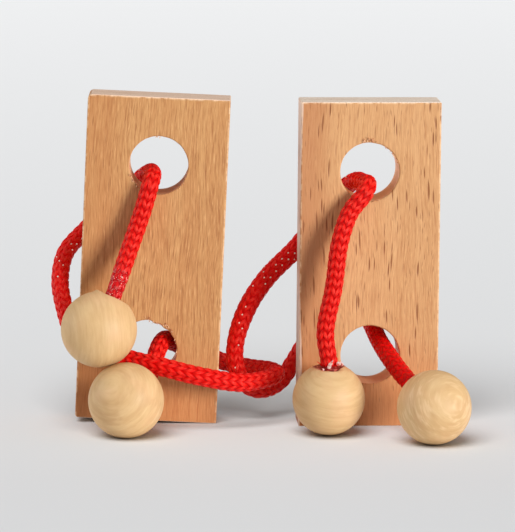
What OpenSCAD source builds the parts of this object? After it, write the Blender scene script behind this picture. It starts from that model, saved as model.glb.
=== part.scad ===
// Rope puzzle: two upright hardwood blocks, each drilled with an upper and a lower hole, four turned
// wooden balls and two round braided cords. Each cord runs through both holes of its block, ends in a
// ball at each end, and the two cords are hooked through each other between the blocks.
// Millimetres. Floor at z = 0, the block faces look towards -Y, +X is to the viewer's right.

/* [Blocks] */
// width of the left block, across its face
left_block_w = 38.6; // [37:0.2:38.6]
// width of the right block, across its face
right_block_w = 38; // [36.5:0.5:38]
// height of each block
block_h = 89; // [87:0.5:89]
// thickness of each block, along the drilled holes
block_t = 12; // [11:0.5:12]
// sanded edge, as a small chamfer
arris = 0.4; // [0.2:0.1:0.6]

/* [Holes] */
// diameter of the four drilled holes
hole_d = 16; // [16:0.25:17]
// eased edge of each hole, as a small countersink
hole_ease = 0.3; // [0.1:0.1:0.5]

/* [Balls] */
// diameter of the four turned balls
ball_d = 20; // [19.5:0.1:20]
// depth of the floor of the glued socket beyond the ball's centre plane
socket_floor = 2; // [1.5:0.25:2.5]

/* [Cords] */
// diameter of the braided cord
cord_d = 4.8; // [4.4:0.1:4.8]
// wall of cured glue between the cord and the socket
glue_wall = 1.2; // [0.8:0.1:1.3]

/* [Hidden] */
cord_slip = 0.05;
cord_sides = 10;
glue_floor = 1;
glue_dip = 0.3;
mouth_dip = 0.5;
ball_gap = 0.46;
socket_d = cord_d + 2 * glue_wall;
// how far a cutter runs past the face that it cuts
overcut = 1;

// Where each block stands: its lower front corner, its lean in its own plane and its turn about Z.
left_corner = [-13.5, 12, 0];
left_lean = 2.2;
right_corner = [9, 9, 0];
right_turn = 3.5;

// Hole centres in each block's own plane: distance from the corner above, height above the base.
left_upper_hole = [-18.7, 70.4];
left_lower_hole = [-19.6, 19.8];
right_upper_hole = [18.7, 70];
right_lower_hole = [19.3, 19.8];

// Ball centres. Three lie on the floor, and the upper left one hangs just above the lower left one,
// in the direction upper_from_lower.
upper_from_lower = [-7.5, 4.5, 18.5];
left_lower_ball = [-37.5, -7.5, ball_d / 2];
left_upper_ball = left_lower_ball + unit(upper_from_lower) * (ball_d + ball_gap);
right_upper_ball = [17, -3, ball_d / 2];
right_lower_ball = [45, -14, ball_d / 2];

// Direction in which each ball's socket opens.
left_upper_aim = [3.7, 3, 8.5];
left_lower_aim = [3.7, 8.3, 2];
right_upper_aim = [0, 0, 1];
right_lower_aim = [-4.7, 7.5, 3.5];

// Centreline of the left cord between the mouths of its two sockets.
LEFT_ROUTE = [
    [-38.2, 4, 46], [-35.2, 7.5, 54.5], [-33, 8.7, 61.3], [-31.8, 10, 65.7],
    [-31.2, 13.6, 67.8], [-31.4, 18.2, 68.2], [-32.1, 23, 67.7], [-34.2, 27, 65.8],
    [-38, 29, 62], [-43.5, 29.5, 56.5], [-50.5, 28, 50.3], [-55.2, 24.5, 45],
    [-56.5, 19.5, 38], [-55.1, 14.5, 31.5], [-52.8, 10, 26.3], [-48, 8.5, 22.3],
    [-37.5, 5.5, 19], [-28, 1.5, 17.5], [-18, 0.8, 15.2], [-7, 4.3, 12.9],
    [-1.5, 8, 12.9], [1.9, 12, 13.3], [2.8, 16, 13.5], [1, 19.9, 13.6],
    [-4.5, 24.2, 13.5], [-12.5, 28.8, 14.5], [-19.3, 30.4, 17], [-24.4, 28.7, 19.1],
    [-27.2, 23.9, 21.1], [-28.1, 18.5, 21.8], [-29.2, 13.5, 20.9], [-30.3, 9.8, 18.3],
    [-31.1, 8.2, 15.5], [-32.4, 5.5, 13]
];

// Centreline of the right cord between the mouths of its two sockets.
RIGHT_ROUTE = [
    [15.9, -2, 28], [18.1, 0.2, 40], [19.6, 2.6, 51.5], [22.3, 5.7, 59.4],
    [26.1, 7.6, 64.2], [27.2, 10.9, 66.5], [26.1, 15.3, 66.4], [24.8, 19.5, 66.4],
    [23.1, 23.7, 65.2], [19.8, 27.1, 61.8], [14.8, 28.5, 55.5], [8.8, 27.3, 47.2],
    [0.1, 25.2, 38.4], [-5.2, 22.5, 30.5], [-8.3, 19.3, 21.5], [-8.2, 17.4, 15],
    [-6, 17, 10.6], [-2, 18.9, 8.3], [3.5, 24.3, 9.3], [7.2, 26.3, 14],
    [11.2, 27.3, 20.6], [15.5, 29.3, 26], [20, 30.3, 29.3], [24.5, 29.3, 29.7],
    [28, 26.6, 27.2], [29.6, 22.5, 24.7], [30.8, 17, 22.8], [33, 9.5, 20.2],
    [36.4, 1, 16.7]
];

// Ring numbers, counted along each whole cord, where its tails meet its loop.
left_upper_joint = 4;
left_lower_joint = 35;
right_upper_joint = 5;
right_lower_joint = 29;

function unit(v) = v / norm(v);

// Bottom of the socket, where the cord's cut end sits on its cushion of glue, and the socket's mouth.
function cord_end(ball, aim) = ball + unit(aim) * (socket_floor + glue_floor);
function mouth(ball, aim) = ball + unit(aim) * (ball_d / 2 - mouth_dip);

function whole(route, first, first_aim, last, last_aim) =
    concat(
        [cord_end(first, first_aim), mouth(first, first_aim)],
        route,
        [mouth(last, last_aim), cord_end(last, last_aim)]);

LEFT_CORD = whole(LEFT_ROUTE, left_upper_ball, left_upper_aim, left_lower_ball, left_lower_aim);
RIGHT_CORD = whole(RIGHT_ROUTE, right_upper_ball, right_upper_aim, right_lower_ball, right_lower_aim);

// Direction of the cord at ring i.
function heading(p, i) =
    i == 0 ? unit(p[1] - p[0]) :
    i == len(p) - 1 ? unit(p[i] - p[i - 1]) :
    unit(unit(p[i + 1] - p[i]) + unit(p[i] - p[i - 1]));

// A side direction carried along the cord without twist.
function carried(n, t) = unit(n - (n * t) * t);
function sides_along(p) =
    [for (i = 0, n = carried([1, 0, 0], heading(p, 0)); i < len(p);
          i = i + 1, n = i < len(p) ? carried(n, heading(p, i)) : n) n];

// Corners of the rings from number a to number b.
function rings(p, a, b) =
    let (n = sides_along(p))
    [for (i = [a:b]) let (t = heading(p, i), m = cross(t, n[i]))
        for (k = [0:cord_sides - 1])
            p[i] + (n[i] * cos(360 * k / cord_sides) + m * sin(360 * k / cord_sides)) * cord_d / 2];

// Triangles of the swept surface and of its two ends.
function skin(count) =
    let (s = cord_sides)
    concat(
        [for (i = [0:count - 2]) for (k = [0:s - 1])
            [i * s + k, (i + 1) * s + k, i * s + (k + 1) % s]],
        [for (i = [0:count - 2]) for (k = [0:s - 1])
            [i * s + (k + 1) % s, (i + 1) * s + k, (i + 1) * s + (k + 1) % s]],
        [for (k = [1:s - 2]) [0, k, k + 1]],
        [for (k = [1:s - 2]) [(count - 1) * s, (count - 1) * s + k + 1, (count - 1) * s + k]]);

module stretch(p, a, b) {
    color([0.86, 0.08, 0.07])
        polyhedron(points = rings(p, a, b), faces = skin(b - a + 1), convexity = 8);
}

// Rectangle with cut corners, centred.
module cut_rectangle(a, b) {
    polygon([
        [-a / 2 + arris, -b / 2], [a / 2 - arris, -b / 2], [a / 2, -b / 2 + arris], [a / 2, b / 2 - arris],
        [a / 2 - arris, b / 2], [-a / 2 + arris, b / 2], [-a / 2, b / 2 - arris], [-a / 2, -b / 2 + arris]
    ]);
}

// Block of the given width with every edge eased, standing on z = 0 with its front face on y = 0,
// centred in x.
module board(width) {
    translate([0, block_t / 2, block_h / 2])
        intersection() {
            linear_extrude(height = block_h, center = true) cut_rectangle(width, block_t);
            rotate([90, 0, 0])
                linear_extrude(height = block_t, center = true) cut_rectangle(width, block_h);
            rotate([90, 0, 90])
                linear_extrude(height = width, center = true) cut_rectangle(block_t, block_h);
        }
}

// Drilled hole along the thickness, with both of its edges eased.
module bore(x, z) {
    translate([x, 0, z])
        rotate([-90, 0, 0]) {
            translate([0, 0, -overcut])
                cylinder(d = hole_d, h = block_t + 2 * overcut, $fn = 96);
            translate([0, 0, -overcut])
                cylinder(d1 = hole_d + 2 * (hole_ease + overcut), d2 = hole_d, h = hole_ease + overcut, $fn = 96);
            translate([0, 0, block_t - hole_ease])
                cylinder(d1 = hole_d, d2 = hole_d + 2 * (hole_ease + overcut), h = hole_ease + overcut, $fn = 96);
        }
}

// Turns +Z towards d.
module point_to(d) {
    rotate([0, acos(unit(d)[2]), atan2(d[1], d[0])]) children();
}

// Turned ball with a blind socket that opens towards aim.
module turned_ball(centre, aim) {
    color([0.93, 0.80, 0.58])
        translate(centre)
            point_to(aim)
                difference() {
                    sphere(d = ball_d, $fn = 64);
                    translate([0, 0, socket_floor])
                        cylinder(d = socket_d, h = ball_d, $fn = 48);
                }
}

// Cured glue that fills the socket round the cord's end.
module glue_bead(centre, aim) {
    rim = sqrt(pow(ball_d / 2, 2) - pow(socket_d / 2, 2));
    color([0.90, 0.80, 0.66])
        translate(centre)
            point_to(aim)
                difference() {
                    translate([0, 0, socket_floor])
                        cylinder(d = socket_d, h = rim - glue_dip - socket_floor, $fn = 48);
                    translate([0, 0, socket_floor + glue_floor])
                        cylinder(d = cord_d + 2 * cord_slip, h = ball_d, $fn = 48);
                }
}

module left_block() {
    color([0.80, 0.58, 0.37])
        translate(left_corner)
            rotate([0, left_lean, 0])
                difference() {
                    translate([-left_block_w / 2, 0, 0]) board(left_block_w);
                    bore(left_upper_hole[0], left_upper_hole[1]);
                    bore(left_lower_hole[0], left_lower_hole[1]);
                }
}

module right_block() {
    color([0.79, 0.56, 0.36])
        translate(right_corner)
            rotate([0, 0, right_turn])
                difference() {
                    translate([right_block_w / 2, 0, 0]) board(right_block_w);
                    bore(right_upper_hole[0], right_upper_hole[1]);
                    bore(right_lower_hole[0], right_lower_hole[1]);
                }
}

module left_upper_bead() {
    turned_ball(left_upper_ball, left_upper_aim);
}

module left_lower_bead() {
    turned_ball(left_lower_ball, left_lower_aim);
}

module right_upper_bead() {
    turned_ball(right_upper_ball, right_upper_aim);
}

module right_lower_bead() {
    turned_ball(right_lower_ball, right_lower_aim);
}

module left_upper_glue() {
    glue_bead(left_upper_ball, left_upper_aim);
}

module left_lower_glue() {
    glue_bead(left_lower_ball, left_lower_aim);
}

module right_upper_glue() {
    glue_bead(right_upper_ball, right_upper_aim);
}

module right_lower_glue() {
    glue_bead(right_lower_ball, right_lower_aim);
}

module left_cord_upper_tail() {
    stretch(LEFT_CORD, 0, left_upper_joint);
}

module left_cord_loop() {
    stretch(LEFT_CORD, left_upper_joint, left_lower_joint);
}

module left_cord_lower_tail() {
    stretch(LEFT_CORD, left_lower_joint, len(LEFT_CORD) - 1);
}

module right_cord_upper_tail() {
    stretch(RIGHT_CORD, 0, right_upper_joint);
}

module right_cord_loop() {
    stretch(RIGHT_CORD, right_upper_joint, right_lower_joint);
}

module right_cord_lower_tail() {
    stretch(RIGHT_CORD, right_lower_joint, len(RIGHT_CORD) - 1);
}

left_block();
right_block();
left_upper_bead();  // left_upper_ball
left_lower_bead();  // left_lower_ball
right_upper_bead();  // right_upper_ball
right_lower_bead();  // right_lower_ball
left_upper_glue();
left_lower_glue();
right_upper_glue();
right_lower_glue();
left_cord_upper_tail();
left_cord_loop();
left_cord_lower_tail();
right_cord_upper_tail();
right_cord_loop();
right_cord_lower_tail();
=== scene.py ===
import math

import bmesh
import bpy
import numpy as np
from mathutils import Matrix, Vector


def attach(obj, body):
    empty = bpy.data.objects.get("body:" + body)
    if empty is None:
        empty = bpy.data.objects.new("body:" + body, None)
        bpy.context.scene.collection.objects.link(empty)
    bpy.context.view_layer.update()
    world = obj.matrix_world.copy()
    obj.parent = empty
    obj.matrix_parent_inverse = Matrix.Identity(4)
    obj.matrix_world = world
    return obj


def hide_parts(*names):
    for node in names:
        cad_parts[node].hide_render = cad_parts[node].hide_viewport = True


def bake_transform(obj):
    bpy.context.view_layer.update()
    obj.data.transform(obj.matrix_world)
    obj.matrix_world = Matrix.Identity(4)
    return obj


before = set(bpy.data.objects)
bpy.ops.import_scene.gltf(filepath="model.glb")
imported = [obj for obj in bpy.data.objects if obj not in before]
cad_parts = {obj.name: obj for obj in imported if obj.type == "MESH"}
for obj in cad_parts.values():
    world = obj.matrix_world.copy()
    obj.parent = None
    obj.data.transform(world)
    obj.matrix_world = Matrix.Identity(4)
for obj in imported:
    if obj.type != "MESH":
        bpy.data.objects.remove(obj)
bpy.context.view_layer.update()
MM = 0.001

# Sizes in millimetres
BLOCK_H, BLOCK_T = 89.0, 12.0
LEFT_BLOCK_W, RIGHT_BLOCK_W = 38.6, 38.0
HOLE_D, BALL_D, CORD_D = 16.0, 20.0, 4.8
SOCKET_D = 7.2
SOCKET_FLOOR = 2.0
GLUE_FLOOR = 1.0
MOUTH_DIP = 0.5
ARRIS = 0.4
# Each ball's centre, and the way its socket opens
BALLS = {
    "left_upper": ((-45, -3, 28.5), (3.7, 3, 8.5)),
    "left_lower": ((-37.5, -7.5, 10), (3.7, 8.3, 2)),
    "right_upper": ((17, -3, 10), (0, 0, 1)),
    "right_lower": ((45, -14, 10), (-4.7, 7.5, 3.5)),
}
# Points that each cord runs through, from its upper ball to its lower one
LEFT_ROUTE = [
    (-38.2, 4, 46), (-35.2, 7.5, 54.5), (-33, 8.7, 61.3), (-31.8, 10, 65.7),
    (-31.2, 13.6, 67.8), (-31.4, 18.2, 68.2), (-32.1, 23, 67.7), (-34.2, 27, 65.8),
    (-38, 29, 62), (-43.5, 29.5, 56.5), (-50.5, 28, 50.3), (-55.2, 24.5, 45),
    (-56.5, 19.5, 38), (-55.1, 14.5, 31.5), (-52.8, 10, 26.3), (-48, 8.5, 22.3),
    (-37.5, 5.5, 19), (-28, 1.5, 17.5), (-18, 0.8, 15.2), (-7, 4.3, 12.9),
    (-1.5, 8, 12.9), (1.9, 12, 13.3), (2.8, 16, 13.5), (1, 19.9, 13.6),
    (-4.5, 24.2, 13.5), (-12.5, 28.8, 14.5), (-19.3, 30.4, 17), (-24.4, 28.7, 19.1),
    (-27.2, 23.9, 21.1), (-28.1, 18.5, 21.8), (-29.2, 13.5, 20.9), (-30.3, 9.8, 18.3),
    (-31.1, 8.2, 15.5), (-32.4, 5.5, 13),
]
RIGHT_ROUTE = [
    (15.9, -2, 28), (18.1, 0.2, 40), (19.6, 2.6, 51.5), (22.3, 5.7, 59.4),
    (26.1, 7.6, 64.2), (27.2, 10.9, 66.5), (26.1, 15.3, 66.4), (24.8, 19.5, 66.4),
    (23.1, 23.7, 65.2), (19.8, 27.1, 61.8), (14.8, 28.5, 55.5), (8.8, 27.3, 47.2),
    (0.1, 25.2, 38.4), (-5.2, 22.5, 30.5), (-8.3, 19.3, 21.5), (-8.2, 17.4, 15),
    (-6, 17, 10.6), (-2, 18.9, 8.3), (3.5, 24.3, 9.3), (7.2, 26.3, 14),
    (11.2, 27.3, 20.6), (15.5, 29.3, 26), (20, 30.3, 29.3), (24.5, 29.3, 29.7),
    (28, 26.6, 27.2), (29.6, 22.5, 24.7), (30.8, 17, 22.8), (33, 9.5, 20.2),
    (36.4, 1, 16.7),
]


def unit(v):
    """The vector at a length of 1."""
    v = np.asarray(v, float)
    return v / np.linalg.norm(v)


# Camera
def make_camera():
    """Long lens from the front, a little above, as in the photograph."""
    elevation, roll = math.radians(9.0), math.radians(0.46)
    aim, away = Vector((-2.5, 9.0, 44.2)) * MM, 1175.0 * MM
    back = Vector((0, -math.cos(elevation), math.sin(elevation)))
    rise = Vector((0, math.sin(elevation), math.cos(elevation)))
    right = Vector((1, 0, 0)) * math.cos(roll) + rise * math.sin(roll)
    up = back.cross(right)
    data = bpy.data.cameras.new("camera")
    data.sensor_width = 36.0
    data.lens = 293.3
    data.clip_start, data.clip_end = 0.01, 20.0
    camera = bpy.data.objects.new("camera", data)
    bpy.context.scene.collection.objects.link(camera)
    turn = Matrix((right, up, back)).transposed()
    camera.matrix_world = Matrix.Translation(aim + back * away) @ turn.to_4x4()
    bpy.context.scene.camera = camera


make_camera()


# Cord centrelines
def mouth(name):
    """Middle of a ball's mouth, a little below its surface."""
    centre, aim = BALLS[name]
    return np.array(centre, float) + unit(aim) * (BALL_D / 2 - MOUTH_DIP)


def cord_end(name):
    """Where the cord ends in a ball, on the glue in its socket."""
    centre, aim = BALLS[name]
    return np.array(centre, float) + unit(aim) * (SOCKET_FLOOR + GLUE_FLOOR)


# Points on the curve between two of a cord's points
CURVE_SAMPLES = 40


def straight_blend(a, b, start, stop, x):
    """From a at start to b at stop, in a straight line."""
    return (stop - x) / (stop - start) * a + (x - start) / (stop - start) * b


def curve_between(a, b, c, d):
    """Smooth curve from b to c, which comes from a and heads for d."""
    t = [0.0]
    for near, far in ((a, b), (b, c), (c, d)):
        t.append(t[-1] + np.linalg.norm(far - near) ** 0.5)
    x = np.linspace(t[1], t[2], CURVE_SAMPLES)[:, None]
    ab = straight_blend(a, b, t[0], t[1], x)
    bc = straight_blend(b, c, t[1], t[2], x)
    cd = straight_blend(c, d, t[2], t[3], x)
    abc = straight_blend(ab, bc, t[0], t[2], x)
    bcd = straight_blend(bc, cd, t[1], t[3], x)
    return straight_blend(abc, bcd, t[1], t[2], x)


def smooth_line(points, step):
    """A curve through the points, cut into even steps, with each point's place along it."""
    p = np.array(points, float)
    ends = np.vstack([2 * p[0] - p[1], p, 2 * p[-1] - p[-2]])
    fine = []
    marks = [0.0]
    for i in range(len(p) - 1):
        run = curve_between(*ends[i : i + 4])
        marks.append(marks[-1] + np.linalg.norm(np.diff(run, axis=0), axis=1).sum())
        fine.append(run if not fine else run[1:])
    fine = np.vstack(fine)
    along = np.concatenate([[0], np.cumsum(np.linalg.norm(np.diff(fine, axis=0), axis=1))])
    count = int(round(along[-1] / step)) + 1
    places = np.linspace(0, along[-1], count)
    line = np.stack([np.interp(places, along, fine[:, k]) for k in range(3)], axis=1)
    return line, places, marks


def carried_sides(line):
    """Directions along the line, and two side directions carried without twist."""
    along = np.gradient(line, axis=0)
    along /= np.linalg.norm(along, axis=1)[:, None]
    sides = np.zeros_like(along)
    side = np.array([1.0, 0, 0])
    for i, way in enumerate(along):
        side = unit(side - (side @ way) * way)
        sides[i] = side
    return along, sides, np.cross(along, sides)


def mesh_object(name, mesh):
    """Object in the scene for a mesh."""
    obj = bpy.data.objects.new(name, mesh)
    bpy.context.scene.collection.objects.link(obj)
    return obj


def object_from(bm, name):
    """Object in the scene from mesh data under construction."""
    mesh = bpy.data.meshes.new(name)
    bm.to_mesh(mesh)
    bm.free()
    return mesh_object(name, mesh)


def new_piece(name, verts, faces, material):
    """Smooth shaded mesh object from points in millimetres."""
    mesh = bpy.data.meshes.new(name)
    mesh.from_pydata([tuple(v) for v in np.asarray(verts, float) * MM], [], faces)
    mesh.materials.append(material)
    mesh.polygons.foreach_set("use_smooth", [True] * len(mesh.polygons))
    mesh.update()
    return mesh_object(name, mesh)


def put_attribute(obj, name, values):
    """One number or one vector for each point of the mesh."""
    values = np.asarray(values, np.float32)
    if values.ndim == 1:
        numbers = obj.data.attributes.new(name, "FLOAT", "POINT")
        numbers.data.foreach_set("value", values)
    else:
        vectors = obj.data.attributes.new(name, "FLOAT_VECTOR", "POINT")
        vectors.data.foreach_set("vector", values.ravel())


# Materials
class Nodes:
    """A material's nodes, with short ways to add and join them."""

    def __init__(self, name):
        self.material = bpy.data.materials.new(name)
        self.material.use_nodes = True
        self.tree = self.material.node_tree
        self.bsdf = self.tree.nodes["Principled BSDF"]

    def add(self, kind, **values):
        """A new node with its settings."""
        node = self.tree.nodes.new(kind)
        for key, value in values.items():
            setattr(node, key, value)
        return node

    def link(self, source, target):
        """Join an output to an input, or give the input a number or a colour."""
        if isinstance(source, (int, float)):
            target.default_value = source
        elif isinstance(source, tuple):
            target.default_value = (*source, 1.0)
        else:
            self.tree.links.new(source, target)

    def math(self, operation, a, b=0.0):
        node = self.add("ShaderNodeMath", operation=operation)
        self.link(a, node.inputs[0])
        self.link(b, node.inputs[1])
        return node.outputs[0]

    def times(self, a, b):
        return self.math("MULTIPLY", a, b)

    def number(self, name):
        """A number stored at the mesh's points."""
        return self.add("ShaderNodeAttribute", attribute_name=name).outputs["Fac"]

    def vector(self, name):
        """A vector stored at the mesh's points."""
        return self.add("ShaderNodeAttribute", attribute_name=name).outputs["Vector"]

    def parts(self, vector):
        """The x, y and z of a vector."""
        node = self.add("ShaderNodeSeparateXYZ")
        self.link(vector, node.inputs[0])
        return node.outputs

    def stretch(self, vector, scale, shift=(0.0, 0.0, 0.0)):
        """Coordinates scaled and shifted."""
        node = self.add("ShaderNodeMapping")
        self.link(vector, node.inputs["Vector"])
        node.inputs["Scale"].default_value = scale
        node.inputs["Location"].default_value = shift
        return node.outputs[0]

    def noise(self, vector, scale=1.0, detail=2.0, roughness=0.5, distortion=0.0):
        node = self.add("ShaderNodeTexNoise")
        self.link(vector, node.inputs["Vector"])
        node.inputs["Scale"].default_value = scale
        node.inputs["Detail"].default_value = detail
        node.inputs["Roughness"].default_value = roughness
        node.inputs["Distortion"].default_value = distortion
        return node.outputs[0]

    def fit(self, value, low, high, to_low=0.0, to_high=1.0):
        """Smooth ramp of a value from low to high."""
        node = self.add("ShaderNodeMapRange", interpolation_type="SMOOTHSTEP")
        self.link(value, node.inputs["Value"])
        ends = {"From Min": low, "From Max": high, "To Min": to_low, "To Max": to_high}
        for key, number in ends.items():
            node.inputs[key].default_value = number
        return node.outputs[0]

    def mix(self, share, a, b):
        """Colour b laid over colour a by its share."""
        node = self.add("ShaderNodeMix", data_type="RGBA")
        self.link(share, node.inputs[0])
        self.link(a, node.inputs[6])
        self.link(b, node.inputs[7])
        return node.outputs[2]

    def over(self, colour, *layers):
        """The colour with layers over it, each one a share and a tone."""
        for share, tone in layers:
            colour = self.mix(share, colour, tone)
        return colour

    def bump(self, height, strength, distance):
        """Fine relief of the surface, its distance in millimetres."""
        node = self.add("ShaderNodeBump")
        node.inputs["Strength"].default_value = strength
        node.inputs["Distance"].default_value = distance * MM
        self.link(height, node.inputs["Height"])
        self.link(node.outputs[0], self.bsdf.inputs["Normal"])

    def set(self, **values):
        """Plain values of the surface, named with _ for a space."""
        for key, value in values.items():
            self.bsdf.inputs[key.replace("_", " ")].default_value = value

    def paint(self, colour, **values):
        """The surface's colour and plain values."""
        self.link(colour, self.bsdf.inputs["Base Color"])
        self.set(**values)


def srgb(r, g, b):
    """Colour written as screen values from 0 to 255."""
    shares = (r / 255, g / 255, b / 255)
    return tuple(c / 12.92 if c <= 10 / 255 else ((c + 0.055) / 1.055) ** 2.4 for c in shares)


def cord_material():
    """Red yarn: painted shade in the valleys, painted highlights on the crests, stiff and crumbly
    where glued, its pale crumbs partly painted glints.
    """
    nodes = Nodes("braided_cord")
    lie = nodes.vector("lie")
    height = nodes.number("crown")
    glued = nodes.number("glued")
    fibres = nodes.noise(nodes.stretch(lie, (0.8, 26.0, 1.0)), 1.0, 3.0, 0.6)
    patch = nodes.noise(nodes.stretch(lie, (0.25, 1.0, 1.0)), 1.0, 2.0)
    crumbs_and_glints = nodes.noise(nodes.stretch(lie, (1.7, 6.0, 1.0)), 1.0, 2.0)
    # Painted shade: the valleys between the yarns are coloured darker, less so where the weave is
    # open, and the crests lighter
    painted_valley_shade = nodes.mix(nodes.number("open_weave"), srgb(205, 0, 3), srgb(240, 2, 5))
    colour = nodes.over(
        painted_valley_shade,
        (nodes.fit(height, 0.35, 0.9), srgb(227, 15, 11)),
        # Painted highlight: pale pink on the highest crests, where the fibres catch the light
        (nodes.times(nodes.fit(fibres, 0.4, 0.7), nodes.fit(height, 0.75, 1.0)), srgb(255, 84, 68)),
        (nodes.times(nodes.fit(patch, 0.45, 0.7), 0.25), srgb(230, 8, 6)),
        (nodes.times(glued, 0.75), srgb(196, 22, 30)),
        # Pale crumbs of dried glue on the glued stretch, which also stand in for painted glints
        (nodes.times(glued, nodes.fit(crumbs_and_glints, 0.61, 0.69)), srgb(255, 204, 192)),
    )
    nodes.paint(colour, Specular_IOR_Level=0.2, Specular_Tint=(1.0, 0.45, 0.4, 1.0))
    nodes.set(Subsurface_Weight=0.4, Subsurface_Radius=(1.0, 0.12, 0.1), Subsurface_Scale=0.8 * MM)
    nodes.link(nodes.math("SUBTRACT", 0.42, nodes.times(glued, 0.2)), nodes.bsdf.inputs["Roughness"])
    nodes.bump(fibres, 0.3, 0.1)
    return nodes.material


def plain_material(name, colour, **values):
    """Material of one colour."""
    nodes = Nodes(name)
    nodes.paint(colour, **values)
    return nodes.material


CORD = cord_material()
CORE = plain_material("cord_core", srgb(238, 6, 6), Roughness=0.8, Specular_IOR_Level=0.1)
PINHOLE = plain_material("cord_pinhole", srgb(255, 234, 220), Roughness=0.6)

# The braid: a dozen yarns each way, over two and under two
YARNS = 12
# Length of one turn of a yarn round the cord, and how far it rises and falls
LAY = 28.8
SWING = 0.18
YARN_W, YARN_T = 1.3, 0.62
# How far the yarns' crests stand over the cord's radius
PROUD = 0.08
MIDDLE = CORD_D / 2 + PROUD - SWING - YARN_T / 2
YARN_SIDES = 6
CORE_SIDES = 24
# How far the core lies under the yarns' middle
CORE_SUNK = 0.12
# Half size of a pinhole, and its height over the yarns' middle
SPECK = 0.29
SPECK_RISE = 0.34
# Share of the pinholes that show at the sides, where the weave is tighter
SIDE_SPECKS = 0.12
# Step along the cord, and the runs over which it swells and turns stiff
STEP = 0.4
SWELL_RUN = 8.0
STIFF_RUN = 4.0
# How much of each end is in its socket, and the run over which it widens from there
IN_SOCKET = BALL_D / 2 - MOUTH_DIP - SOCKET_FLOOR - GLUE_FLOOR
TAPER_RUN = 9.0
# Where the height that sets the yarns' painted shade and highlight starts, below their middle, and
# how far it sinks where the core fills the gaps between them
CROWN_BASE = 0.1
FILLED_FLAT = 0.55
# Shift of the yarn pattern from one yarn to the next
YARN_SHIFT = (7.3, 3.1)
# Names of a cord's lengths, from its upper ball to its lower one
LENGTHS = ("upper_tail", "loop", "lower_tail")


def tube_rings(centre, radial, lateral, half_r, half_l):
    """Rings of an oval section, one per centre point."""
    angles = np.linspace(0, 2 * math.pi, YARN_SIDES, endpoint=False) + math.pi / YARN_SIDES
    return (
        centre[:, None, :]
        + radial[:, None, :] * (half_r * np.cos(angles))[None, :, None]
        + lateral[:, None, :] * (half_l * np.sin(angles))[None, :, None]
    )


def round_rings(line, side, up, half, count):
    """Rings of a round section, of its own size at each point."""
    angles = np.linspace(0, 2 * math.pi, count, endpoint=False)
    return line[:, None, :] + half[:, None, None] * (
        side[:, None, :] * np.cos(angles)[None, :, None]
        + up[:, None, :] * np.sin(angles)[None, :, None]
    )


def tube_faces(count, start, sides):
    """Faces between rings of points that follow each other from start."""
    faces = []
    for i in range(count - 1):
        for k in range(sides):
            a, b = start + i * sides + k, start + i * sides + (k + 1) % sides
            faces.append((a, b, b + sides, a + sides))
    return faces


def pinhole_shape(centre, out, along, start):
    """Small speck with eight faces, whose points are counted from start."""
    side = unit(np.cross(out, along))
    corners = [along, side, -along, -side, out, -out]
    faces = [(start + q, start + (q + 1) % 4, start + 4) for q in range(4)]
    faces += [(start + (q + 1) % 4, start + q, start + 5) for q in range(4)]
    return np.array([centre + SPECK * c for c in corners]), faces


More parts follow.
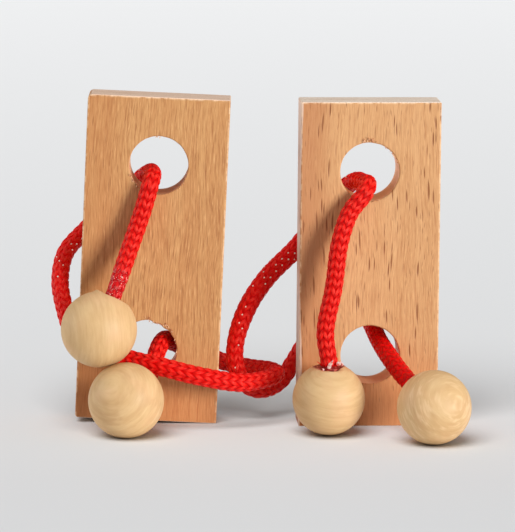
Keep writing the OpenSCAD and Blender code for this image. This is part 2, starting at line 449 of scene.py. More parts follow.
class Braid:
    """A cord's line, with the yarns, the core and the pinholes round it.

    slack, tight and pinholes hold stretches between two of the cord's points, counted from
    its upper end, with a share each: where the braid swells, where the core fills the weave
    and where the weave is open. tapers holds how much thinner the two ends are, and stiff_to
    how far the glue has crept along from the upper end.
    """

    def __init__(self, route, upper_ball, lower_ball, tapers, stiff_to, slack, tight, pinholes):
        upper_end = cord_end(upper_ball), mouth(upper_ball)
        lower_end = mouth(lower_ball), cord_end(lower_ball)
        self.line, self.places, self.marks = smooth_line([*upper_end, *route, *lower_end], STEP)
        self.along, self.side, self.up = carried_sides(self.line)
        self.size = self.taper(*tapers) + self.swelling(slack)
        self.glued = np.clip((stiff_to - self.places) / STIFF_RUN, 0, 1)
        self.open_weave = self.swelling([(first, last, 1.0) for first, last, chance in pinholes])
        self.filled = self.swelling(tight)
        self.specks = self.specks_in(pinholes)
        self.yarns = self.yarn_rings()
        half = (MIDDLE - CORE_SUNK + self.filled) * self.size
        self.core = round_rings(self.line, self.side, self.up, half, CORE_SIDES)

    def taper(self, first, last):
        """Share of the full thickness along the cord: it is pulled in where it is glued."""
        near_first = np.clip((self.places - IN_SOCKET) / TAPER_RUN, 0, 1)
        near_last = np.clip((self.places[-1] - self.places - IN_SOCKET) / TAPER_RUN, 0, 1)
        near_first = near_first * near_first * (3 - 2 * near_first)
        near_last = near_last * near_last * (3 - 2 * near_last)
        return 1 - first * (1 - near_first) - last * (1 - near_last)

    def swelling(self, stretches):
        """Share along the cord that rises and falls inside each (first, last, share)."""
        extra = np.zeros(len(self.places))
        for first, last, share in stretches:
            rise = np.clip((self.places - self.marks[first]) / SWELL_RUN, 0, 1)
            fall = np.clip((self.marks[last] - self.places) / SWELL_RUN, 0, 1)
            extra += share * np.minimum(rise, fall)
        return extra

    def specks_in(self, stretches):
        """Pinholes between the yarns, where the pale inside of the braid shows."""
        rng = np.random.default_rng(7)
        specks = []
        cell = LAY / YARNS
        for first, last, chance in stretches:
            for row in range(int(self.marks[first] / cell), int(self.marks[last] / cell)):
                for k in range(YARNS):
                    place = (row + 0.5 * (k % 2)) * LAY / YARNS
                    i = int(np.argmin(abs(self.places - place)))
                    angle = math.pi / YARNS + 2 * math.pi * k / YARNS
                    out = self.side[i] * math.cos(angle) + self.up[i] * math.sin(angle)
                    shown = 1.0 if abs(out[1]) > 0.8 else SIDE_SPECKS
                    if rng.random() <= chance * shown:
                        centre = self.line[i] + out * (MIDDLE + SPECK_RISE) * self.size[i]
                        specks.append((i, centre, out))
        return specks

    def yarn_rings(self):
        """Rings of every yarn. Half of the yarns wind one way and half the other."""
        yarns = []
        for way in (1, -1):
            for j in range(YARNS):
                angle = 2 * math.pi * (j / YARNS + way * self.places / LAY)
                lift = way * SWING * np.cos(YARNS / 2 * angle)
                out = self.side * np.cos(angle)[:, None] + self.up * np.sin(angle)[:, None]
                centre = self.line + out * ((MIDDLE + lift) * self.size)[:, None]
                along = np.gradient(centre, axis=0)
                along /= np.linalg.norm(along, axis=1)[:, None]
                radial = out - (out * along).sum(1)[:, None] * along
                radial /= np.linalg.norm(radial, axis=1)[:, None]
                lateral = np.cross(radial, along)
                yarns.append(tube_rings(centre, radial, lateral, YARN_T / 2, YARN_W / 2))
        return np.stack(yarns)

    def yarn_looks(self, yarn, part):
        """Where each point of a yarn lies in its pattern, and how high it stands in the braid, which
        sets its painted shade and highlight.
        """
        run = np.repeat(self.places[part], YARN_SIDES)
        across = np.tile(np.arange(YARN_SIDES) / YARN_SIDES, len(self.places[part]))
        own = np.full(len(run), yarn * YARN_SHIFT[1])
        lie = np.stack([run, across + yarn * YARN_SHIFT[0], own], axis=1)
        away = np.linalg.norm(self.yarns[yarn, part] - self.line[part, None, :], axis=2)
        away = away / self.size[part, None]
        rise = (away - (MIDDLE - CROWN_BASE)) / (SWING + YARN_T / 2 + CROWN_BASE)
        return lie, (rise - FILLED_FLAT * self.filled[part, None]).ravel()

    def piece(self, name, first, last):
        """One length of the cord, from its first step to its last one."""
        part = slice(first, last + 1)
        count = last + 1 - first
        verts = [self.yarns[:, part].reshape(-1, 3), self.core[part].reshape(-1, 3)]
        yarn_points = len(verts[0])
        faces = []
        for yarn in range(len(self.yarns)):
            faces += tube_faces(count, yarn * count * YARN_SIDES, YARN_SIDES)
        yarn_faces = len(faces)
        faces += tube_faces(count, yarn_points, CORE_SIDES)
        core_faces = len(faces)
        points = yarn_points + len(verts[1])
        for i, centre, out in self.specks:
            if first <= i < last:
                speck_verts, speck_faces = pinhole_shape(centre, out, self.along[i], points)
                verts.append(speck_verts)
                faces += speck_faces
                points += len(speck_verts)
        piece = new_piece(name, np.vstack(verts), faces, CORD)
        piece.data.materials.append(CORE)
        piece.data.materials.append(PINHOLE)
        slots = np.zeros(len(faces), int)
        slots[yarn_faces:core_faces] = 1
        slots[core_faces:] = 2
        piece.data.polygons.foreach_set("material_index", slots)
        bare = points - yarn_points
        lies, crowns = zip(*(self.yarn_looks(yarn, part) for yarn in range(len(self.yarns))))
        put_attribute(piece, "lie", np.vstack([*lies, np.zeros((bare, 3))]))
        put_attribute(piece, "crown", np.concatenate([*crowns, np.zeros(bare)]))
        for label, values in (("glued", self.glued), ("open_weave", self.open_weave)):
            on_yarns = np.tile(np.repeat(values[part], YARN_SIDES), len(self.yarns))
            put_attribute(piece, label, np.concatenate([on_yarns, np.zeros(bare)]))
        return piece


def cut_cord(side, braid, cuts):
    """A cord's three lengths, cut at two of the cord's points, as {node: piece}."""
    pieces = {}
    steps = [int(np.argmin(abs(braid.places - braid.marks[c]))) for c in cuts]
    for part, first, last in zip(LENGTHS, [0, *steps], [*steps, len(braid.line) - 1]):
        node = f"{side}_cord_{part}"
        piece = braid.piece(f"{node}_braid", first, last)
        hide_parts(node)
        # The loops would tint the floor red
        piece.visible_diffuse = part != "loop"
        path = braid.line[first : last + 1] * MM
        if part == "lower_tail":
            path = path[::-1]
        pieces[node] = piece
    return pieces


left_braid = Braid(
    LEFT_ROUTE, "left_upper", "left_lower", tapers=(0.1, 0.04), stiff_to=16.0,
    slack=((17, 22, 0.08), (28, 33, 0.04)), tight=(), pinholes=((9, 16, 0.45),),
)
right_braid = Braid(
    RIGHT_ROUTE, "right_upper", "right_lower", tapers=(0.05, 0.0), stiff_to=0.0,
    slack=((10, 16, 0.09), (28, 31, 0.05)), tight=((26, 32, 0.42),),
    pinholes=((10, 15, 0.75), (15, 18, 0.45)),
)
print("cord lengths, mm:", round(left_braid.places[-1], 1), round(right_braid.places[-1], 1))
cords = {**cut_cord("left", left_braid, (5, 29)), **cut_cord("right", right_braid, (6, 27))}
# The cords' lengths, each baked into the shared frame; the bodies and points listed beside each are
# not used
for node, a, b, start, end in (
    ("left_cord_upper_tail", "left_stand", "left_upper_end", (-32.3, 9.6, 64.5), (-33.8, 7.8, 57.8)),
    ("left_cord_loop", "left_stand", "right_stand", (-22, 10, 14), (1, 10, 14)),
    ("left_cord_lower_tail", "left_stand", "left_lower_end", (-31, 8.5, 14), (-31, 0.5, 14)),
    ("right_cord_upper_tail", "right_stand", "right_upper_end", (24.3, 6.6, 62.1), (21, 4.3, 56.4)),
    ("right_cord_lower_tail", "right_stand", "right_lower_end", (32, 13.5, 21.5), (34.8, 5, 18.8)),
):
    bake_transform(cords[node])
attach(cords["right_cord_loop"], "right_stand")


# Wood
def pores(nodes, place, across, along, depth, chosen_from, size):
    """Short dark marks along the grain, one in each chosen cell."""
    cells = nodes.add("ShaderNodeTexVoronoi", feature="F1", distance="EUCLIDEAN")
    nodes.link(nodes.stretch(place, (across, 0.2 * across, along)), cells.inputs["Vector"])
    cells.inputs["Scale"].default_value = 1.0
    colours = nodes.add("ShaderNodeSeparateColor")
    nodes.link(cells.outputs["Color"], colours.inputs[0])
    spot = nodes.fit(cells.outputs["Distance"], 0.4 * size, size, 1.0, 0.0)
    chosen = nodes.fit(colours.outputs[0], chosen_from, chosen_from + 0.12)
    return nodes.times(nodes.times(spot, chosen), depth)


def swayed(nodes, place):
    """Board coordinates that wander sideways, so that the grain isn't ruled straight."""
    wander = nodes.noise(nodes.stretch(place, (0.05, 0.05, 0.03)), 1.0, 2.0)
    sway = nodes.add("ShaderNodeCombineXYZ")
    nodes.link(nodes.times(nodes.math("SUBTRACT", wander, 0.5), 4.0), sway.inputs[0])
    shifted = nodes.add("ShaderNodeVectorMath", operation="ADD")
    nodes.link(place, shifted.inputs[0])
    nodes.link(sway.outputs[0], shifted.inputs[1])
    return shifted.outputs[0]


def end_colour(nodes, place, end_grain_and_sheen):
    """Sawn end grain: growth rings across the thickness, and dust in the pores, on a pale tone that
    is partly the wood and partly painted reflection of the bright surroundings seen at a grazing
    angle.
    """
    dust = nodes.noise(nodes.stretch(place, (2.6, 2.6, 1.0)), 1.0, 3.0, 0.7)
    ring = nodes.noise(nodes.stretch(place, (0.05, 0.9, 0.05)), 1.0, 3.0, 0.6, 0.4)
    dusty = nodes.mix(nodes.fit(dust, 0.4, 0.75), end_grain_and_sheen, srgb(216, 180, 150))
    return nodes.mix(nodes.times(nodes.fit(ring, 0.5, 0.66), 0.4), dusty, srgb(206, 164, 128))


def block_material(name, width, pale, streak, dark, pore, end_grain_and_sheen, drilled_and_lit, texture, marks, painted_shade_and_highlight):
    """Sanded wood with upright grain.

    texture holds the strength of the fine grain, of its dark hairs and of its pale hairs.
    marks holds the kinds of pores: cells across and along, darkness, share left out, size.
    The last argument holds bands of painted shade and of painted highlight: axis, where each starts,
    where it is full, its share and tone.
    """
    nodes = Nodes(name)
    place = nodes.vector("place")
    grain = swayed(nodes, place)
    wide = nodes.noise(nodes.stretch(grain, (0.2, 0.2, 0.012)), 1.0, 3.0, 0.55)
    fine = nodes.noise(nodes.stretch(grain, (1.6, 1.6, 0.075)), 1.0, 4.0, 0.65)
    hair = nodes.noise(nodes.stretch(grain, (3.0, 3.0, 0.24), (3.0, 1.0, 7.0)), 1.0, 2.0, 0.55)
    colour = nodes.over(
        nodes.mix(nodes.fit(wide, 0.35, 0.65), pale, streak),
        (nodes.times(nodes.fit(fine, 0.48, 0.7), texture[0]), dark),
        (nodes.times(nodes.fit(hair, 0.5, 0.7), texture[1]), dark),
        (nodes.times(nodes.fit(hair, 0.47, 0.28), texture[2]), srgb(232, 180, 124)),
    )
    along = nodes.parts(grain)
    # Bands of painted shade and painted highlight laid over the grain
    for axis, start, full, share, tone in painted_shade_and_highlight:
        colour = nodes.mix(nodes.times(nodes.fit(along[axis], start, full), share), colour, tone)
    spots = 0.0
    for mark in marks:
        spots = nodes.math("MAXIMUM", spots, pores(nodes, grain, *mark))
    x, y, z = nodes.parts(place)
    from_top = nodes.math("SUBTRACT", BLOCK_H, z)
    from_side = nodes.math("SUBTRACT", width / 2, nodes.math("ABSOLUTE", x))
    from_face = nodes.math("MINIMUM", y, nodes.math("SUBTRACT", BLOCK_T, y))
    # The marks are fainter on the narrow side faces
    spots = nodes.times(spots, nodes.fit(from_side, 0.05, 0.3, 0.35, 1.0))
    # Pale arrises: partly real wear, partly painted highlight along the edges, broken into dashes by
    # noise
    worn = nodes.noise(nodes.stretch(place, (0.5, 0.5, 0.5)), 1.0, 3.0)
    edge = nodes.times(nodes.fit(from_side, 0.6, 0.15), nodes.fit(from_face, 0.7, 0.2, 0.0, 0.8))
    arris = nodes.math("MAXIMUM", nodes.fit(from_top, 0.7, 0.2), edge)
    arris = nodes.times(arris, nodes.fit(worn, 0.4, 0.6))
    end = nodes.math("MAXIMUM", nodes.fit(from_top, 0.25, 0.05), nodes.fit(z, 0.25, 0.05))
    colour = nodes.over(
        colour,
        (spots, pore),
        # Painted highlight and wear along the arrises
        (nodes.times(arris, 0.6), srgb(248, 216, 178)),
        # Bored walls: paler fresh-cut wood, also lightened as painted light inside the holes
        (nodes.number("bored"), drilled_and_lit),
        # End faces: wood tone with painted reflection, paler than the faces
        (end, end_colour(nodes, place, end_grain_and_sheen)),
    )
    nodes.paint(colour, Roughness=0.5, Specular_IOR_Level=0.4)
    nodes.bump(nodes.times(nodes.math("ADD", nodes.math("ADD", fine, hair), spots), -0.5), 0.55, 0.2)
    return nodes.material


LEFT_WOOD = block_material(
    "left_block_wood", LEFT_BLOCK_W,
    pale=srgb(205, 152, 97), streak=srgb(196, 139, 86), dark=srgb(165, 106, 59),
    pore=srgb(148, 92, 46), end_grain_and_sheen=srgb(243, 212, 190), drilled_and_lit=srgb(226, 168, 124),
    texture=(0.95, 0.6, 0.5),
    marks=((1.3, 0.13, 0.5, 0.4, 0.26), (0.9, 0.16, 0.45, 0.55, 0.26)),
    # Painted shade: darker and redder towards the foot, where the balls and loop shade the face and
    # the red cord lights it, and darker towards the left under the tail's shadow
    painted_shade_and_highlight=(("Z", 30, 4, 0.45, srgb(206, 118, 66)), ("X", -6, -18, 0.35, srgb(184, 116, 64))),
)
RIGHT_WOOD = block_material(
    "right_block_wood", RIGHT_BLOCK_W,
    pale=srgb(215, 163, 112), streak=srgb(206, 152, 101), dark=srgb(181, 122, 75),
    pore=srgb(138, 80, 36), end_grain_and_sheen=srgb(255, 240, 224), drilled_and_lit=srgb(255, 200, 150),
    texture=(0.75, 0.45, 0.5),
    marks=((1.4, 0.15, 0.95, 0.68, 0.4), (1.2, 0.1, 0.9, 0.76, 0.38), (2.4, 0.3, 0.5, 0.7, 0.34)),
    # Painted shade: darker towards the left, where the tail and the upper ball cast shadows, and
    # darker and redder towards the foot; the pale strip at the very left edge is a painted highlight
    painted_shade_and_highlight=(
        ("X", -8, -17, 0.65, srgb(182, 116, 72)), ("Z", 26, 6, 0.4, srgb(216, 118, 60)),
        ("X", -18.7, -18.9, 0.5, srgb(255, 236, 222)),
    ),
)


def ball_material():
    """Pale turned wood, with its own place, stains and marks on each ball."""
    nodes = Nodes("ball_wood")
    place = nodes.vector("place")
    bands = nodes.noise(nodes.stretch(place, (0.07, 0.07, 0.75)), 1.0, 5.0, 0.62)
    lines = nodes.noise(nodes.stretch(place, (0.2, 0.2, 3.2)), 1.0, 3.0, 0.6)
    cloud = nodes.noise(nodes.stretch(place, (0.12, 0.12, 0.12)), 1.0, 2.0)
    smear = nodes.noise(nodes.stretch(place, (0.12, 0.12, 0.3)), 1.0, 3.0, 0.5, 0.3)
    ripples = nodes.noise(nodes.stretch(place, (0.2, 0.2, 1.3)), 1.0, 2.0, 0.5, 0.7)
    ragged = nodes.noise(nodes.stretch(place, (0.7, 0.7, 0.7)), 1.0, 3.0)
    colour = nodes.over(
        nodes.mix(nodes.fit(bands, 0.3, 0.7), srgb(216, 181, 132), srgb(205, 166, 117)),
        (nodes.times(nodes.fit(lines, 0.5, 0.7), 0.25), srgb(192, 148, 100)),
        (nodes.times(nodes.fit(cloud, 0.45, 0.65), 0.35), srgb(219, 173, 130)),
        (nodes.times(nodes.number("smudge"), nodes.fit(smear, 0.48, 0.66)), srgb(188, 146, 100)),
        (nodes.times(nodes.number("ripple"), nodes.fit(ripples, 0.48, 0.7)), srgb(234, 202, 158)),
        (nodes.times(nodes.number("stain"), nodes.fit(ragged, 0.35, 0.65)), srgb(206, 122, 74)),
        (nodes.number("soak"), srgb(150, 58, 48)),
    )
    nodes.paint(colour, Roughness=0.52, Specular_IOR_Level=0.28)
    # Rings that the lathe left, by the distance along the ball's profile
    lathe = nodes.add("ShaderNodeCombineXYZ")
    nodes.link(nodes.times(nodes.number("turned"), 3.5), lathe.inputs[0])
    rings = nodes.noise(lathe.outputs[0], 1.0, 2.0)
    nodes.bump(nodes.math("ADD", nodes.times(rings, 0.7), lines), 0.3, 0.07)
    return nodes.material


def mottled_material(name, scale, detail, ramp, tones, **values):
    """Material with two tones that change from place to place."""
    nodes = Nodes(name)
    spread = nodes.noise(nodes.vector("place"), scale, detail)
    nodes.paint(nodes.mix(nodes.fit(spread, *ramp), *tones), **values)
    return nodes.material


BALL_WOOD = ball_material()
GLUE = mottled_material(
    "glue", 1.1, 3.0, (0.5, 0.64), (srgb(124, 14, 12), srgb(186, 84, 66)),
    Roughness=0.45, Specular_IOR_Level=0.25, Subsurface_Weight=0.2, Subsurface_Scale=0.8 * MM,
)
DRIED_GLUE = mottled_material(
    "dried_glue", 1.6, 3.0, (0.4, 0.62), (srgb(240, 214, 206), srgb(214, 110, 100)), Roughness=0.35
)
TORN_FIBRE = mottled_material(
    "torn_fibre", 1.3, 2.0, (0.4, 0.6), (srgb(236, 190, 148), srgb(190, 116, 70)), Roughness=0.6
)


# Blocks
def board_shape(name, width, worn):
    """Board on z = 0 with its front on y = 0.

    worn holds its rounded left corners, each as (whether it is the upper one, how far it goes).
    """
    bm = bmesh.new()
    bmesh.ops.create_cube(bm, size=1.0)
    for v in bm.verts:
        v.co = Vector((v.co.x * width, (v.co.y + 0.5) * BLOCK_T, (v.co.z + 0.5) * BLOCK_H))
    for top, offset in worn:
        corner = [
            e for e in bm.edges if all(v.co.x < 0 and (v.co.z > BLOCK_H / 2) == top for v in e.verts)
        ]
        bmesh.ops.bevel(bm, geom=corner, offset=offset, segments=6, profile=0.5, affect="EDGES")
    return object_from(bm, name)


def drill(x, z):
    """Round bar that cuts a hole through the board."""
    bm = bmesh.new()
    radius = HOLE_D / 2
    bmesh.ops.create_cone(
        bm, cap_ends=True, segments=128, radius1=radius, radius2=radius, depth=BLOCK_T * 3
    )
    placed = Matrix.Translation((x, BLOCK_T / 2, z)) @ Matrix.Rotation(math.pi / 2, 4, "X")
    bmesh.ops.transform(bm, matrix=placed, verts=bm.verts)
    return object_from(bm, "cutter")


def drilled_board(name, width, holes, worn):
    """Mesh of the board with its holes cut and its edges eased."""
    board = board_shape(name, width, worn)
    cutters = [drill(x, z) for x, z in holes]
    for cutter in cutters:
        cut = board.modifiers.new("hole", "BOOLEAN")
        cut.operation, cut.object, cut.solver = "DIFFERENCE", cutter, "EXACT"
    eased = board.modifiers.new("eased", "BEVEL")
    eased.width, eased.segments = ARRIS, 3
    eased.limit_method, eased.angle_limit = "ANGLE", math.radians(40)
    bpy.context.view_layer.update()
    depsgraph = bpy.context.evaluated_depsgraph_get()
    mesh = bpy.data.meshes.new_from_object(board.evaluated_get(depsgraph))
    for thing in (board, *cutters):
        bpy.data.objects.remove(thing)
    mesh.name = name
    return mesh


def divide_faces(mesh, holes):
    """Cut the board across into smaller faces, and keep its front and back flat."""
    bm = bmesh.new()
    bm.from_mesh(mesh)
    bm.normal_update()
    levels = [((0, 0, z), (0, 0, 1)) for z in (5, holes[1][1], 45, holes[0][1], BLOCK_H - 5)]
    levels += [((x, 0, 0), (1, 0, 0)) for x in (-14, 0, 14)]
    for point, way in levels:
        everything = bm.verts[:] + bm.edges[:] + bm.faces[:]
        bmesh.ops.bisect_plane(bm, geom=everything, dist=0.001, plane_co=point, plane_no=way)
    for f in bm.faces:
        f.smooth = abs(f.normal.y) <= 0.999
    bm.to_mesh(mesh)
    bm.free()


def torn_rims(place, holes, ragged):
    """The board's points, with the holes' front rims a little rough and torn."""
    moved = place.copy()
    rng = np.random.default_rng(3)
    for (x, z), depth in zip(holes, ragged):
        away = place[:, [0, 2]] - (x, z)
        far = np.linalg.norm(away, axis=1)
        angle = np.arctan2(away[:, 1], away[:, 0])
        rim = (far < HOLE_D / 2 + 1.2) & (place[:, 1] < 2)
        waves = sum(np.sin(k * angle + rng.uniform(0, 6)) / k ** 0.6 for k in (3, 7, 13, 23, 31))
        degrees = np.degrees(angle)
        torn = depth * np.clip((90 - degrees) / 13, 0, 1) * np.clip((degrees - 5) / 50, 0, 1)
        torn *= 0.75 + 0.25 * np.sin(15 * angle)
        slide = np.where(rim, waves * 0.05 - torn, 0.0)
        moved[:, [0, 2]] += away / far[:, None] * slide[:, None]
    return moved


def block_piece(side, width, turn, holes, material, worn, ragged):
    """Drilled board with its looks. turn takes board coordinates to the shared frame."""
    name = f"{side}_block_wood"
    mesh = drilled_board(name, width, holes, worn)
    divide_faces(mesh, holes)
    place = np.array([v.co for v in mesh.vertices], float)
    for v, co in zip(mesh.vertices, torn_rims(place, holes, ragged)):
        v.co = co
    mesh.transform(Matrix.Scale(MM, 4) @ turn)
    mesh.materials.clear()
    mesh.materials.append(material)
    obj = mesh_object(name, mesh)
    put_attribute(obj, "place", place)
    inside = (place[:, 1] > ARRIS / 2) & (place[:, 1] < BLOCK_T - ARRIS / 2)
    walls = [np.linalg.norm(place[:, [0, 2]] - hole, axis=1) < HOLE_D / 2 + 0.05 for hole in holes]
    put_attribute(obj, "bored", inside & (walls[0] | walls[1]))
    weighted = obj.modifiers.new("weighted", "WEIGHTED_NORMAL")
    weighted.weight = 80
    weighted.keep_sharp = True
    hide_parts(f"{side}_block")
    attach(obj, f"{side}_stand")


# Holes, upper and lower, across and up from the middle of the board's lower edge
LEFT_HOLES = [(LEFT_BLOCK_W / 2 - 18.7, 70.4), (LEFT_BLOCK_W / 2 - 19.6, 19.8)]
RIGHT_HOLES = [(18.7 - RIGHT_BLOCK_W / 2, 70.0), (19.3 - RIGHT_BLOCK_W / 2, 19.8)]
# The left block leans on its lower right edge, the right one is turned about the vertical
left_turn = Matrix.Translation((-13.5, 12, 0)) @ Matrix.Rotation(math.radians(2.2), 4, "Y")
left_turn = left_turn @ Matrix.Translation((-LEFT_BLOCK_W / 2, 0, 0))
right_turn = Matrix.Translation((9, 9, 0)) @ Matrix.Rotation(math.radians(3.5), 4, "Z")
right_turn = right_turn @ Matrix.Translation((RIGHT_BLOCK_W / 2, 0, 0))
block_piece(
    "left", LEFT_BLOCK_W, left_turn, LEFT_HOLES, LEFT_WOOD,
    worn=((True, 1.3), (False, 0.9)), ragged=(0.05, 0.68),
)
block_piece("right", RIGHT_BLOCK_W, right_turn, RIGHT_HOLES, RIGHT_WOOD, worn=(), ragged=(0.08, 0.0))


# Turned balls
BALL_SIDES = 144


def revolve(profile, count, wobble=None):
    """Points and faces of a turned shape from (radius, height) pairs, poles closed."""
    verts, faces = [], []
    angles = np.linspace(0, 2 * math.pi, count, endpoint=False)
    for i, (r, h) in enumerate(profile):
        for a in angles:
            lift = wobble(i, a) if wobble else 0.0
            verts.append((r * math.cos(a), r * math.sin(a), h + lift))
    faces = tube_faces(len(profile), 0, count)
    faces.append(tuple(range(count))[::-1])
    faces.append(tuple((len(profile) - 1) * count + k for k in range(count)))
    return verts, faces


def aimed(centre, direction):
    """Rotation and shift that turn +Z towards direction at centre."""
    turn = Vector(direction).to_track_quat("Z", "Y").to_matrix()
    return Matrix.Translation(centre) @ turn.to_4x4()


def moved_by(matrix, verts):
    """Points turned and shifted by a matrix."""
    m = np.array(matrix)
    return np.array(verts) @ m[:3, :3].T + m[:3, 3]


def ball_profile(radius):
    """Outline of a ball from its far pole round to the rim, and down its socket."""
    rim = SOCKET_D / 2
    edge = math.asin((rim + 0.45) / radius)
    top = radius * math.cos(edge)
    angles = np.linspace(math.pi - 0.02, edge, 90)
    profile = [(radius * math.sin(a), radius * math.cos(a)) for a in angles]
    for r, h in ((0.32, 0.05), (0.2, 0.04), (0.08, -0.08), (0.0, -0.3), (-0.02, -0.7)):
        profile.append((rim + r, top + h))
    for h in (6.0, 4.0, SOCKET_FLOOR):
        profile.append((rim, h))
    profile.append((0.05, SOCKET_FLOOR))
    return profile


def ball_piece(name, radius, lip, dip, soaked, grain, smudge, ripple):
    """Turned ball. lip raises the left of its rim and dip lowers the front, in millimetres."""
    centre, aim = BALLS[name]
    centre, aim = np.array(centre, float), unit(aim)
    rim = SOCKET_D / 2
    profile = ball_profile(radius)
    verts, faces = revolve(profile, BALL_SIDES)
    world = moved_by(aimed(centre, aim), verts)
    off = world - centre
    height = off @ aim
    radial = off - height[:, None] * aim
    reach = np.linalg.norm(radial, axis=1)
    turned_by = np.arctan2(radial[:, 1], radial[:, 0])
    leftward = np.clip(-radial[:, 0] / np.maximum(reach, 0.01), 0, 1)
    forward = np.clip(-radial[:, 1] / np.maximum(reach, 0.01), 0, 1)

    def ring(outward, width):
        """1 on a ring round the mouth, and 0 a width away on both sides."""
        return np.clip(1 - np.abs(reach - rim - outward) / width, 0, 1) * (height > radius * 0.7)

    def spread(outward, width, above):
        """1 round the mouth, and 0 beyond the distance outward."""
        return np.clip((rim + outward - reach) / width, 0, 1) * (height > radius * above)

    near_rim = ring(0.35, 1.1)
    waves = np.sin(3 * turned_by + 2) + 0.6 * np.sin(7 * turned_by)
    world += aim * (lip * ring(1.2, 1.0) * leftward ** 4)[:, None]
    world -= aim * (lip * 1.6 * near_rim * (1 - leftward) ** 2)[:, None]
    world -= aim * (dip * near_rim * forward ** 2)[:, None]
    world += aim * (dip * 0.3 * near_rim * waves)[:, None]
    obj = new_piece(f"{name}_ball_wood", world, faces, BALL_WOOD)
    turn = np.array(Vector(grain).to_track_quat("Z", "Y").inverted().to_matrix())
    put_attribute(obj, "place", off @ turn.T + 31.0 * np.array([radius, centre[0], 1.0]))
    steps = np.linalg.norm(np.diff(np.array(profile), axis=0), axis=1)
    put_attribute(obj, "turned", np.repeat(np.concatenate([[0], np.cumsum(steps)]), BALL_SIDES))
    creep = 0.35 * np.sin(2 * turned_by + 0.6) + 0.25 * np.sin(5 * turned_by)
    put_attribute(obj, "soak", soaked * spread(0.8 + creep, 0.6, 0.6))
    stain = 0.8 * max(soaked - 0.3, 0) * spread(3.0 + 2 * creep, 2.4, 0.5)
    put_attribute(obj, "stain", stain)
    put_attribute(obj, "smudge", np.full(len(world), smudge))
    put_attribute(obj, "ripple", np.full(len(world), ripple))
    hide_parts(f"{name}_ball")
    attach(obj, f"{name}_end")


def glue_piece(name):
    """Cured glue that fills the socket round the cord, uneven where it shows."""
    wall = SOCKET_D / 2 - 0.05
    inner = CORD_D / 2 - 0.35
    profile = [(0.05, SOCKET_FLOOR), (wall, SOCKET_FLOOR), (wall, 8.6)]
    shown_from = len(profile)
    for share in np.linspace(0, 1, 8):
        profile.append((wall - share * (SOCKET_D / 2 - inner), 8.8 + 0.5 * share * share))
    shown_to = len(profile)
    profile.append((0.05, 9.2))

    def uneven(i, a):
        if shown_from <= i < shown_to:
            return 0.12 * math.sin(3 * a + i) + 0.08 * math.sin(7 * a + 2 * i)
        return 0.0

    verts, faces = revolve(profile, 64, uneven)
    world = moved_by(aimed(*BALLS[name]), verts)
    obj = new_piece(f"{name}_glue_bead", world, faces, GLUE)
    put_attribute(obj, "place", world)
    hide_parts(f"{name}_glue")
    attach(obj, f"{name}_end")


# Each ball's own size, the shape of its rim, the glue soaked in, its grain and its marks
for name, radius, lip, dip, soaked, grain, smudge, ripple in (
    ("left_upper", 10.25, 0.9, 0.0, 0.3, (1, 0.25, 0.05), 0.2, 0.1),
    ("left_lower", 10.2, 0.0, 0.0, 0.3, (-0.4, -0.75, 0.5), 0.4, 0.15),
    ("right_upper", 9.8, 0.05, 0.8, 0.95, (0.15, -0.35, 0.95), 0.2, 0.15),
    ("right_lower", 10.0, 0.0, 0.0, 0.3, (0.5, -0.8, 0.35), 0.25, 0.5),
):
    ball_piece(name, radius, lip, dip, soaked, grain, smudge, ripple)
    glue_piece(name)


# Dried glue, frayed yarn and torn fibres
HAIR_POINTS, HAIR_SIDES = 7, 5


def flake(foot, way, length, half_width, seed):
    """Thin curled flake of dried glue that stands up from its foot."""
    rng = np.random.default_rng(seed)
    way = unit(way)
    across = unit(np.cross(way, (0, 1, 0)))
    thin = np.cross(way, across)
    bm = bmesh.new()
    bmesh.ops.create_icosphere(bm, subdivisions=2, radius=1.0)
    pushes = rng.normal(size=(4, 3))
    verts = []
    for v in bm.verts:
        d = np.array(v.co)
        swell = 1 + 0.25 * sum(math.sin(3.0 * float(d @ p)) for p in pushes) / 2
        run = length / 2 * (d[2] + 1) * swell
        curl = 0.14 * d[1] + 0.12 * run * run
        verts.append(np.array(foot) + way * run + across * d[0] * half_width * swell + thin * curl)
    faces = [tuple(v.index for v in f.verts) for f in bm.faces]
    bm.free()
    return np.array(verts), faces


def hair_tube(start, way, curl, length, width):
    """Thin tapering fibre that curls sideways."""
    way, curl = unit(way), unit(curl)
    shares = np.linspace(0, 1, HAIR_POINTS)[:, None]
    line = np.array(start) + way * length * shares + curl * length * 0.45 * shares * shares
    side, up = carried_sides(line)[1:]
    rings = round_rings(line, side, up, width * np.linspace(1, 0.25, HAIR_POINTS), HAIR_SIDES)
    return rings.reshape(-1, 3), tube_faces(HAIR_POINTS, 0, HAIR_SIDES)


def gather(name, shapes, material, body):
    """One piece made of several small shapes."""
    faces = []
    count = 0
    for some_verts, some_faces in shapes:
        faces += [tuple(i + count for i in f) for f in some_faces]
        count += len(some_verts)
    verts = np.vstack([some_verts for some_verts, some_faces in shapes])
    obj = new_piece(name, verts, faces, material)
    put_attribute(obj, "place", verts)
    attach(obj, body)


flakes = [
    flake((16.6, -6.3, 18.4), (0.42, -0.1, 1.0), 2.5, 0.55, 1),
    flake((15.6, -6.4, 18.3), (-0.5, -0.2, 0.5), 0.8, 0.3, 2),
    flake((19.2, -5.2, 19.4), (0.45, -0.1, 1.0), 1.5, 0.6, 3),
    flake((20.3, -4.1, 19.0), (0.3, -0.2, 1.0), 1.3, 0.35, 4),
]
gather("right_upper_dried_glue", flakes, DRIED_GLUE, "right_upper_end")
frays = []
rng = np.random.default_rng(11)
for k in range(16):
    angle = rng.uniform(0, 2 * math.pi)
    out = np.array([math.cos(angle), math.sin(angle), 0])
    start = np.array([17, -3, 19.2]) + out * 2.2
    frays.append(hair_tube(start, out * 0.7 + (0, 0, 1), out, rng.uniform(0.9, 1.9), 0.11))
gather("right_upper_frayed_yarn", frays, CORE, "right_upper_end")


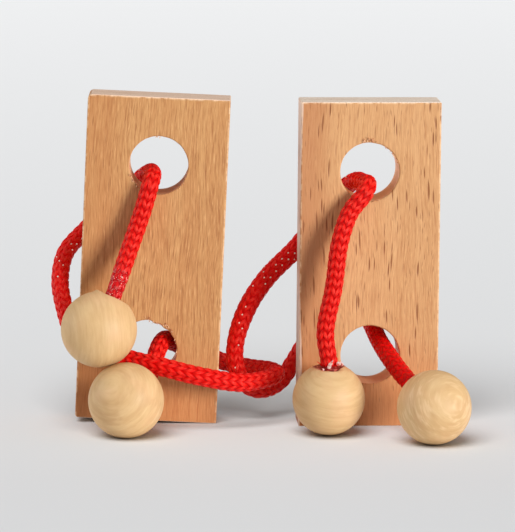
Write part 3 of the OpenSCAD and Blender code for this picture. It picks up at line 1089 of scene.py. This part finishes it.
def slivers(side, which, hole, turn, seed, spans):
    """Torn fibres at a hole's front edge: (from, to, count, length, out of the hole)."""
    rng = np.random.default_rng(seed)
    shapes = []
    for start, stop, count, length, outward in spans:
        for angle in np.radians(rng.uniform(start, stop, count)):
            r = HOLE_D / 2 + rng.uniform(0.0, 0.5) * (1 if outward else -0.2)
            root = (hole[0] + r * math.cos(angle), -0.05, hole[1] + r * math.sin(angle))
            way = (rng.uniform(-0.25, 0.25), rng.uniform(-0.5, -0.1), 1.0 if outward else -1.0)
            curl = (rng.uniform(-1, 1), -0.4, 0.0)
            own_length = length * rng.uniform(0.5, 1.2)
            verts, faces = hair_tube(root, way, curl, own_length, rng.uniform(0.08, 0.2))
            shapes.append((moved_by(turn, verts), faces))
    name = f"{side}_{which}_hole_torn_fibres"
    gather(name, shapes, TORN_FIBRE, f"{side}_stand")


slivers("left", "lower", LEFT_HOLES[1], left_turn, 5, [
    (50, 88, 12, 0.6, False), (86, 96, 4, 0.9, True), (25, 60, 12, 0.7, True),
    (-10, 25, 6, 0.5, False),
])
slivers("left", "upper", LEFT_HOLES[0], left_turn, 6, [
    (200, 240, 12, 0.9, True), (80, 100, 5, 0.4, False), (300, 330, 6, 0.5, True),
])
slivers("right", "upper", RIGHT_HOLES[0], right_turn, 7, [
    (78, 106, 14, 1.1, True), (20, 60, 8, 0.5, False), (255, 290, 8, 0.5, False),
])


# Floor, lights and surroundings
def make_floor():
    """Plain floor, a little paler towards the back."""
    nodes = Nodes("floor")
    spot = nodes.add("ShaderNodeNewGeometry")
    share = nodes.add("ShaderNodeMapRange")
    nodes.link(nodes.parts(spot.outputs["Position"])["Y"], share.inputs["Value"])
    share.inputs["From Min"].default_value = -0.06
    share.inputs["From Max"].default_value = 1.2
    back = nodes.math("POWER", share.outputs[0], 0.8)
    tone = nodes.mix(back, srgb(214, 215, 216), srgb(238, 239, 240))
    nodes.paint(tone, Roughness=1.0, Specular_IOR_Level=0.0)
    reach = 6000
    corners = [(-reach, -reach, 0), (reach, -reach, 0), (reach, reach, 0), (-reach, reach, 0)]
    floor = new_piece("floor", corners, [(0, 1, 2, 3)], nodes.material)
    return floor


def soft_light(name, azimuth, elevation, spread, strength, lit):
    """Even light from a wide soft source. Azimuth 0 is at the camera and 90 at the right."""
    data = bpy.data.lights.new(name, "SUN")
    data.angle, data.energy = math.radians(spread), strength
    light = bpy.data.objects.new(name, data)
    light.light_linking.receiver_collection = lit
    a, e = math.radians(azimuth), math.radians(elevation)
    way = Vector((math.sin(a) * math.cos(e), -math.cos(a) * math.cos(e), math.sin(e)))
    light.location = way
    light.rotation_mode = "QUATERNION"
    light.rotation_quaternion = way.to_track_quat("Z", "Y")
    bpy.context.scene.collection.objects.link(light)


floor = make_floor()
# The floor has its own lamps, so that the side lamps leave no long shadows on it
all_but_floor = bpy.data.collections.new("all but the floor")
all_but_floor.objects.link(floor)
all_but_floor.collection_objects[0].light_linking.link_state = "EXCLUDE"
floor_alone = bpy.data.collections.new("the floor")
floor_alone.objects.link(floor)
soft_light("key", 46, 12, 22, 3.4, all_but_floor)
soft_light("fill", -92, 12, 50, 1.9, all_but_floor)
soft_light("overhead", 0, 88, 50, 1.15, all_but_floor)
soft_light("floor lamp", -18, 54, 44, 2.7, floor_alone)
soft_light("wide floor lamp", 0, 85, 150, 0.68, floor_alone)
world = bpy.data.worlds.new("surroundings")
world.use_nodes = True
background = world.node_tree.nodes["Background"].inputs
background["Color"].default_value = (1.0, 1.0, 1.0, 1.0)
background["Strength"].default_value = 0.1
bpy.context.scene.world = world
bpy.context.scene.view_settings.view_transform = "Standard"
